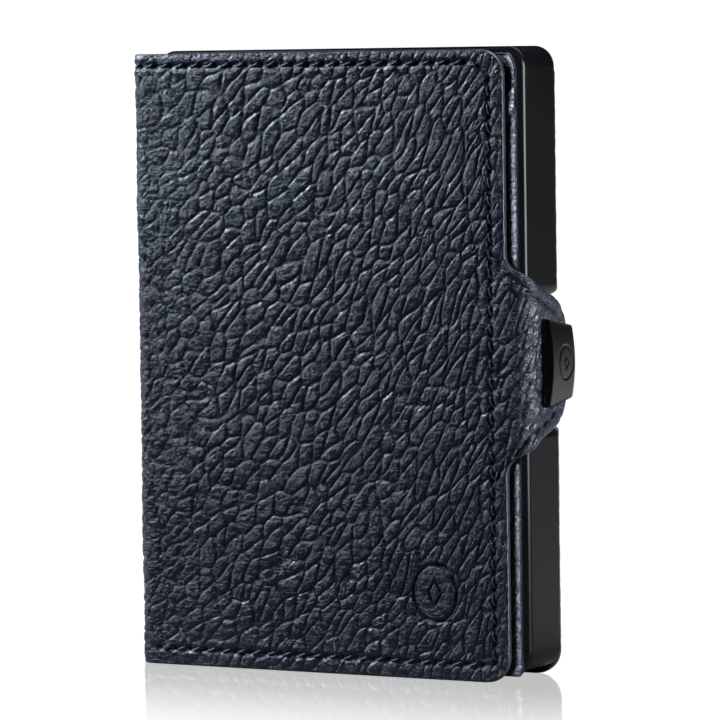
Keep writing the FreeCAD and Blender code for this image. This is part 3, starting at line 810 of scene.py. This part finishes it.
def back_rows():
    """Stitch lines of the back, which step in round the closure notch."""
    top, right = COVER_H - TOP_INSET, BACK_S - RIGHT_INSET
    upper, lower = MID_Z + 16.0, MID_Z - 16.0
    notch_s = right - 3.6
    outer = [(SPINE_S, top), (right - SEAM_CUT, top), (right, top - SEAM_CUT), (right, upper),
             (notch_s, upper - 3.4), (notch_s, lower + 3.4), (right, lower), (right, BOTTOM_INSET)]
    return [outer, [(1.3, BOTTOM_INSET), (right, BOTTOM_INSET)]]


BACK_ROWS = back_rows()


def notch_depth(z, edge_x):
    """How much the closure notch takes off a layer's right edge at a height."""
    half, r = 12.65, 1.9
    lip = NOTCH_X + 2 * r
    u = half - np.abs(z - MID_Z)
    lip_curve = lip - r + np.sqrt(np.clip(r ** 2 - np.clip(u, 0, r) ** 2, 0, None))
    floor_curve = NOTCH_X + r - np.sqrt(np.clip(r ** 2 - np.clip(2 * r - u, 0, r) ** 2, 0, None))
    x = np.where(u < 0, edge_x + 9, np.where(u < r, lip_curve, np.where(u < 2 * r, floor_curve, NOTCH_X)))
    return np.clip(edge_x - x, 0, None)


def back_height(s, z):
    """Outer face of the back leather. In the middle of the spine it is level with the front leather."""
    edge = np.minimum(np.minimum(z, COVER_H - z), BACK_S - s)
    h = thinned(leather_grain(s, z, 40), edge)
    front_like = front_height(np.minimum(s, SPINE_S), z)
    nearest = rows_distance(s, z, BACK_ROWS)
    h = h * (1 - 0.6 * np.exp(-(nearest / 0.7) ** 2)) + seam_dent(nearest)
    h = h + hole_dent(s, z, BACK_ROWS, nearest)
    join = np.clip((s - SPINE_S) / 2.0, 0, 1)
    return front_like * (1 - join) + h * join


def back_cover():
    """Back half of the spine, its fold and the back panel."""
    reach = BACK_S - RIM_R - PANEL_CORNERS - notch_depth(Z_ROWS, BACK_HIGH.x)
    keep_s = BACK_S - 8.0
    step = STEP * 1.25
    flat = spaced(SPINE_S, keep_s, step)
    ends = spaced(0.0, 1.0, 1.0 / round(8.0 / step))[1:]
    s, z = tailed_grid(flat, keep_s, reach, ends)
    obj = sheet_mesh("back_leather", back_path, s, z, back_height, even(BACK_T), COVER_LAYERS,
                     seams=("left",))
    blend_back_fold(obj)
    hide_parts("back_panel_leather", "back_panel_lining")


POCKET_W = POCKET_HIGH.x - POCKET_LOW.x
MOUTH_Z, MOUTH_SLOPE = 95.9, 1.255            # pocket's mouth: its height at the right edge, and its slope
MOUTH_RUN = 24.0                              # width of the slanting part
POCKET_CORNER_R, POCKET_FOOT_R = 3.2, 1.2


def pocket_top(s):
    """Height of the pocket's mouth over its width: it slants down from the right edge, then levels out."""
    slant = MOUTH_Z - MOUTH_SLOPE * (POCKET_W - s)
    level = MOUTH_Z - MOUTH_SLOPE * MOUTH_RUN - 2.0
    return level + np.log1p(np.exp(np.clip((slant - level) / 1.5, -30, 30))) * 1.5


def pocket_right(z, inset=0.0):
    """Where the pocket's layers end on the right at a height."""
    off = notch_depth(z, POCKET_HIGH.x)
    upper = corner_inset(z, POCKET_TOP_Z - inset, POCKET_CORNER_R, -50)
    lower = corner_inset(z, 200.0, POCKET_FOOT_R, POCKET_LOW.z + inset)
    return POCKET_W - inset - off - upper - lower


def pocket_front():
    """The pocket's front with its slanting mouth, hemmed along the slant."""
    s_values = spaced(RIM_R, POCKET_W - RIM_R, STEP * 2.5, [(POCKET_W - 6.5, POCKET_W, STEP * 0.8)])
    rows = spaced(0.0, 1.0, 1.0 / round(95.0 / (STEP * 1.3)))

    def reach_at(z):
        return pocket_right(z) - RIM_R * 0.7

    top = np.minimum(pocket_top(s_values) - 0.2, POCKET_TOP_Z - 0.3)
    z = POCKET_LOW.z + 0.25 + (top[None, :] - POCKET_LOW.z - 0.25) * rows[:, None]
    squeeze = np.clip((s_values - (POCKET_W - 6.5)) / 6.5, 0, 1)[None, :]
    full = POCKET_W - RIM_R
    s = s_values[None, :] - (full - reach_at(z)) * squeeze

    def height(s, z):
        h = leather_grain(s, z, 80) * 0.5
        from_mouth = (pocket_top(s) - z) / math.hypot(1, MOUTH_SLOPE)
        hem = 0.20 / (1 + np.exp((from_mouth - 3.0) / 0.16)) - 0.20
        line = seam_dent(np.abs(from_mouth - 3.0)) * 0.6
        inner = np.minimum(np.minimum(s, pocket_right(z) - s), z - POCKET_LOW.z)
        return np.minimum(0.06, h * np.clip(inner / 2.0, 0.3, 1) + hem + line)

    obj = sheet_mesh("pocket_front_leather", pocket_path, s, z, height, even(POCKET_T),
                     [LEATHER, LEATHER, LINING], rim=0.2)
    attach(obj, "case")
    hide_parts("pocket_front")


def pocket_back():
    """The layer behind the pocket, whose leather border frames the cloth above the mouth."""
    z_values = spaced(MESH_LOW.z + 0.1, MESH_HIGH.z - 0.1, STEP * 2)
    reach = pocket_right(z_values) - 0.35
    fractions = np.concatenate([np.linspace(0, 0.8, 30), np.linspace(0.8, 1.0, 50)[1:]])
    s, z = grid(z_values, 0.5, reach, fractions)

    def path(q):
        x, y, nx, ny = pocket_path(q)
        return x, y + 0.55, nx, ny

    def height(s, z):
        border = np.minimum(pocket_right(z) - s, POCKET_TOP_Z - z + 1.1)
        raised = 1 / (1 + np.exp(np.clip((border - 1.9) / 0.12, -30, 30)))
        above = 1 / (1 + np.exp(np.clip(-(z - pocket_top(s) - 0.5) / 0.3, -30, 30)))
        return -0.30 + 0.25 * raised * above + 0.25 * leather_grain(s, z, 90) * raised

    obj = sheet_mesh("pocket_border_leather", path, s, z, height, even(0.85),
                     [LEATHER, EDGE, LINING], rim=0.12)
    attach(obj, "case")
    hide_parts("pocket_backing")


def pocket_cloth():
    """Dotted cloth stretched over the pocket's back wall."""
    margin = 2.0
    top = MESH_HIGH.z - 0.3
    z_values = spaced(MESH_LOW.z + margin, top, STEP * 1.5)
    reach = pocket_right(z_values) - 1.7
    s, z = grid(z_values, margin, reach, np.linspace(0, 1, 150))

    def path(q):
        x, y, nx, ny = pocket_path(q)
        return x, y + 0.78, nx, ny

    def height(s, z):
        a, b = (s + z) / 1.05, (s - z) / 1.05
        return 0.05 * np.cos(a * math.pi) * np.cos(b * math.pi)

    obj = sheet_mesh("pocket_cloth", path, s, z, height, even(0.12),
                     [TEXTILE, TEXTILE, TEXTILE], rim=0.05)
    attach(obj, "case")
    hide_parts("pocket_mesh_lining")


def thread_rows():
    """All seams, each laid on the path of the leather that it holds. The front and back rows are attached to
    bodies.
    """
    top = COVER_H - TOP_INSET
    outer, bottom, tab_top, tab_low = FRONT_ROWS
    on_spine = walk([(SPINE_S + 0.4, top), (SEAM_S, top)], STITCH)
    rest = walk([(SPINE_S + 0.4, top)] + outer[1:], STITCH)[len(on_spine) - 1:]
    low = walk(bottom, STITCH)
    back_stitch = np.array([[1.3, BOTTOM_INSET + 0.25], [1.3 + STITCH, BOTTOM_INSET + 0.25]])
    spine = stitches("spine_front_stitches", front_path, [on_spine], -0.25, THREAD)
    blend_front_fold(spine)
    front = stitches("front_stitches", front_path, [rest, low, back_stitch], -0.25, THREAD)
    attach(front, "front_cover")
    tab = stitches("tab_stitches", front_path, [walk(tab_top, STITCH * 0.93), walk(tab_low, STITCH * 0.93)],
                   -0.22, THREAD)
    blend_tab(tab)
    back_outer, back_bottom = BACK_ROWS
    back_spine = walk([(SPINE_S + 1.0, top), (SEAM_S, top)], STITCH)
    back_rest = walk([(SPINE_S + 1.0, top)] + back_outer[1:], STITCH)[len(back_spine) - 1:]
    turn = stitches("spine_back_stitches", back_path, [back_spine], -0.25, THREAD)
    blend_back_fold(turn)
    back = stitches("back_stitches", back_path, [back_rest, walk(back_bottom, STITCH)], -0.25, THREAD)
    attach(back, "case")


def clasp():
    """The metal clasp: a crowned plate that turns in behind the tab's end, with a sunk mark."""
    turn_r, rim = 3.0, 0.28
    x_out, front_y, back_y = CLASP_HIGH.x, CLASP_LOW.y, CLASP_HIGH.y
    straight = back_y - turn_r - front_y
    lip = x_out - turn_r - CLASP_LOW.x
    total = straight + turn_r * math.pi / 2 + lip
    half0 = (CLASP_HIGH.z - CLASP_LOW.z) / 2
    half1 = half0 - 1.6

    def path(q):
        q = np.asarray(q, float)
        bend = np.clip((q - straight) / turn_r, 0, math.pi / 2)
        rest = np.clip(q - straight - turn_r * math.pi / 2, 0, None)
        x = x_out - turn_r * (1 - np.cos(bend)) - rest
        y = front_y + np.clip(q, 0, straight) + turn_r * np.sin(bend)
        return x, y, np.cos(bend), np.sin(bend)

    step = STEP * 0.5
    q_values = spaced(rim, total - rim, step)
    v = np.linspace(-1, 1, round(2 * half0 / step) + 1)
    half = np.interp(q_values, [0, 8.5, total], [half0, half1, half1]) - rim
    s = np.repeat(q_values[None, :], len(v), 0)
    z = MID_Z + v[:, None] * half[None, :]

    def height(s, z):
        off = (z - MID_Z) / half0
        crown = -0.8 * off ** 2 * np.clip(1 - (s - straight - 1.5) / 3.5, 0.25, 1)
        ds, dz = s - 4.6, z - MID_Z
        r = np.hypot(ds, dz / 1.12)
        ring = np.exp(-(np.abs(r - 2.35) / 0.17) ** 2.6)
        lozenge = np.abs(ds) / 0.72 + np.abs(dz) / 1.1
        mark = np.exp(-(np.abs(lozenge - 0.95) / 0.2) ** 2.6)
        return crown - 0.16 * np.maximum(ring, mark)

    def thickness(q):
        return np.interp(q, [straight - 1, straight + 1.5], [2.0, 1.25])

    obj = sheet_mesh("clasp_shell", path, s, z, height, thickness, [CLASP_METAL] * 3, rim=rim)
    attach(obj, "tab")
    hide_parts("clasp_cap")


NODE_MATERIALS = [
    (ANODISED, ("case_body", "side_dowel_pins")),
    (PLASTIC, ("case_back_plate", "card_guide_left", "card_guide_right", "ejector_lever")),
    (RUBBER, ("lever_grip_pad",)),
    (FELT, ("felt_pad_front", "felt_pad_back")),
    (STEEL, ("lever_pivot_pin", "lever_spring", "clasp_rivets")),
    (BLACK_STEEL, ("back_plate_screws", "catch_plate", "catch_screws")),
    (NICKEL, ("catch_magnets", "clasp_magnets")),
    (CLASP_METAL, ("clasp_base",)),
    (GLUE, ("pocket_adhesive", "back_adhesive")),
]


def dress_cad():
    """Materials for the CAD solids that stay in sight."""
    for material, names in NODE_MATERIALS:
        for name in names:
            mesh = frame["nodes"][name].data
            mesh.materials.clear()
            mesh.materials.append(material)


# ---- floor, light and camera

CENTRE = Vector((0.0, 0.0, COVER_H * MM / 2))
PALE_BLUE, SKY_BLUE = (0.84, 0.92, 1.0), (0.77, 0.89, 1.0)
POCKET_PIECES = ("pocket_front_leather", "pocket_border_leather", "pocket_cloth")


def bare_material(name):
    """A material with nothing but its output node."""
    mat = bpy.data.materials.new(name)
    mat.use_nodes = True
    mat.node_tree.nodes.clear()
    return mat, mat.node_tree, mat.node_tree.nodes.new("ShaderNodeOutputMaterial")


def plain_shader(tree, kind, colour, strength=None):
    made = tree.nodes.new(kind)
    made.inputs["Color"].default_value = (*colour, 1.0)
    if strength is not None:
        made.inputs["Strength"].default_value = strength
    return made.outputs[0]


def mixed(tree, fac, a, b):
    made = tree.nodes.new("ShaderNodeMixShader")
    for source, socket in zip((fac, a, b), made.inputs):
        link(tree, source, socket)
    return made.outputs[0]


def beside_object(tree, where):
    """0.5 at the foot of the object, fading to 0 away from it."""
    around = fed(tree, "ShaderNodeVectorMath", where, operation="ABSOLUTE")
    outside = fed(tree, "ShaderNodeVectorMath", around.outputs[0], operation="SUBTRACT")
    outside.inputs[1].default_value = (0.036, 0.007, 0.0)
    kept = fed(tree, "ShaderNodeVectorMath", outside.outputs[0], operation="MAXIMUM")
    away = fed(tree, "ShaderNodeVectorMath", kept.outputs[0], operation="LENGTH")
    return fed(tree, "ShaderNodeMapRange", away.outputs["Value"], interpolation_type="SMOOTHSTEP",
               From_Max=0.085, To_Min=0.50, To_Max=0.0).outputs[0]


def floor_material():
    """White studio floor, polished round the object. In front of it, the floor throws little light back."""
    mat, tree, out = bare_material("studio_floor")
    where = node(tree, "ShaderNodeTexCoord").outputs["Object"]
    gloss = plain_shader(tree, "ShaderNodeBsdfGlossy", (1, 1, 1))
    gloss.node.inputs["Roughness"].default_value = 0.06
    white = plain_shader(tree, "ShaderNodeEmission", (1, 1, 1), 1.05)
    seen = mixed(tree, beside_object(tree, where), white, gloss)
    split = fed(tree, "ShaderNodeSeparateXYZ", where)
    back = fed(tree, "ShaderNodeMapRange", split.outputs["Y"], From_Min=-0.03, From_Max=0.06)
    dark = plain_shader(tree, "ShaderNodeBsdfDiffuse", (0.06, 0.06, 0.065))
    pale = plain_shader(tree, "ShaderNodeBsdfDiffuse", (0.75, 0.73, 0.70))
    lit = mixed(tree, back.outputs[0], dark, pale)
    path = node(tree, "ShaderNodeLightPath")
    link(tree, mixed(tree, path.outputs["Is Camera Ray"], lit, seen), out.inputs["Surface"])
    return mat


def floor():
    """A wide plain table top."""
    mesh = bpy.data.meshes.new("floor")
    size = 8.0
    corners = [(-size, -size, 0), (size, -size, 0), (size, size, 0), (-size, size, 0)]
    mesh.from_pydata(corners, [], [(0, 1, 2, 3)])
    mesh.materials.append(floor_material())
    obj = bpy.data.objects.new("floor", mesh)
    bpy.context.scene.collection.objects.link(obj)
    return obj


def lamp(name, place, size, watts, aim=CENTRE, colour=(1, 1, 1)):
    data = bpy.data.lights.new(name, "AREA")
    data.shape = "RECTANGLE"
    data.size, data.size_y = size
    data.energy = watts
    data.color = colour
    obj = bpy.data.objects.new(name, data)
    obj.location = place
    obj.rotation_euler = (aim - Vector(place)).to_track_quat("-Z", "Y").to_euler()
    bpy.context.scene.collection.objects.link(obj)
    return obj


def world():
    """White where the camera looks; a dim room for every other ray."""
    made = bpy.data.worlds.new("studio")
    made.use_nodes = True
    tree = made.node_tree
    tree.nodes.clear()
    where = node(tree, "ShaderNodeTexCoord").outputs["Generated"]
    split = fed(tree, "ShaderNodeSeparateXYZ", where)
    room = ramp(tree, split.outputs["Z"], [(0.0, (0.012, 0.013, 0.015)), (1.0, (0.05, 0.053, 0.06))])
    dim = tree.nodes.new("ShaderNodeBackground")
    link(tree, room, dim.inputs["Color"])
    white = plain_shader(tree, "ShaderNodeBackground", (1, 1, 1), 1.05)
    path = node(tree, "ShaderNodeLightPath")
    out = tree.nodes.new("ShaderNodeOutputWorld")
    link(tree, mixed(tree, path.outputs["Is Camera Ray"], dim.outputs[0], white), out.inputs["Surface"])
    bpy.context.scene.world = made


def backdrop(floor_piece):
    """A far white wall all round, which only the polished floor mirrors."""
    sides, radius, height = 48, 6.5, 5.0
    turn = np.arange(sides) * 2 * math.pi / sides
    low = [(radius * math.cos(a), radius * math.sin(a), -0.01) for a in turn]
    high = [(x, y, height) for x, y, _ in low]
    faces = [(i, (i + 1) % sides, sides + (i + 1) % sides, sides + i) for i in range(sides)]
    mesh = bpy.data.meshes.new("backdrop")
    mesh.from_pydata(low + high, [], faces)
    mat, tree, out = bare_material("backdrop_white")
    link(tree, plain_shader(tree, "ShaderNodeEmission", (1, 1, 1), 1.05), out.inputs["Surface"])
    mesh.materials.append(mat)
    obj = bpy.data.objects.new("backdrop", mesh)
    bpy.context.scene.collection.objects.link(obj)
    link_lamp(obj, [floor_piece])


def link_lamp(obj, pieces):
    """Let a lamp, or a glowing piece, light only these pieces."""
    only = bpy.data.collections.new(obj.name + "_only")
    for piece in pieces:
        only.objects.link(piece)
    obj.light_linking.receiver_collection = only


def lights():
    """Small lamps from the upper left for the grain, and lamps for single pieces that face away from them."""
    left = CENTRE + Vector((-0.03, 0.0, 0.0))
    lamp("key", (-0.29, -0.09, 0.22), (0.06, 0.06), 1.7, left, SKY_BLUE)
    lamp("high_key", (-0.20, -0.17, 0.33), (0.10, 0.05), 0.8, left, SKY_BLUE)
    lamp("top", (0.10, 0.30, 0.55), (0.5, 0.3), 3.0)
    side = (0.34, -0.24, 0.05)
    strip = lamp("edge_panel", side, (0.42, 0.34), 36.0, colour=PALE_BLUE)
    link_lamp(strip, [frame["nodes"][name] for name in ("case_body", "side_dowel_pins")])
    graze = lamp("tab_panel", (0.40, -0.02, 0.05), (0.16, 0.10), 2.4, colour=PALE_BLUE)
    link_lamp(graze, [bpy.data.objects["front_leather"]])
    fill = lamp("pocket_panel", (-0.10, -0.36, 0.10), (0.12, 0.30), 7.0, colour=PALE_BLUE)
    link_lamp(fill, [bpy.data.objects[name] for name in POCKET_PIECES])
    behind = lamp("back_key", (0.24, 0.14, 0.26), (0.06, 0.06), 1.6, colour=SKY_BLUE)
    link_lamp(behind, [bpy.data.objects["back_leather"]])
    bpy.context.scene.view_settings.view_transform = "Standard"


def camera():
    """Long lens, about 30 degrees to the right of the front and a little above the middle."""
    azimuth, elevation, roll = math.radians(30.1), math.radians(3.51), math.radians(-0.79)
    distance = 811.0
    aim = Vector((EDGE_X - 30.3, FRONT_Y + 6.1, 50.5))
    back = Vector((math.sin(azimuth) * math.cos(elevation), -math.cos(azimuth) * math.cos(elevation),
                   math.sin(elevation)))
    data = bpy.data.cameras.new("camera")
    data.sensor_width = 36.0
    data.lens = 249.0
    data.shift_x, data.shift_y = 1 / 720, 2 / 720
    data.clip_start, data.clip_end = 0.05, 50.0
    obj = bpy.data.objects.new("camera", data)
    turn = (-back).to_track_quat("-Z", "Y").to_matrix().to_4x4()
    obj.matrix_world = Matrix.Translation((aim + back * distance) * MM) @ turn @ Matrix.Rotation(roll, 4, "Z")
    bpy.context.scene.collection.objects.link(obj)
    bpy.context.scene.camera = obj


front_panel()
spine_front()
back_cover()
pocket_front()
pocket_back()
pocket_cloth()
thread_rows()
clasp()
dress_cad()
backdrop(floor())
world()
lights()
camera()
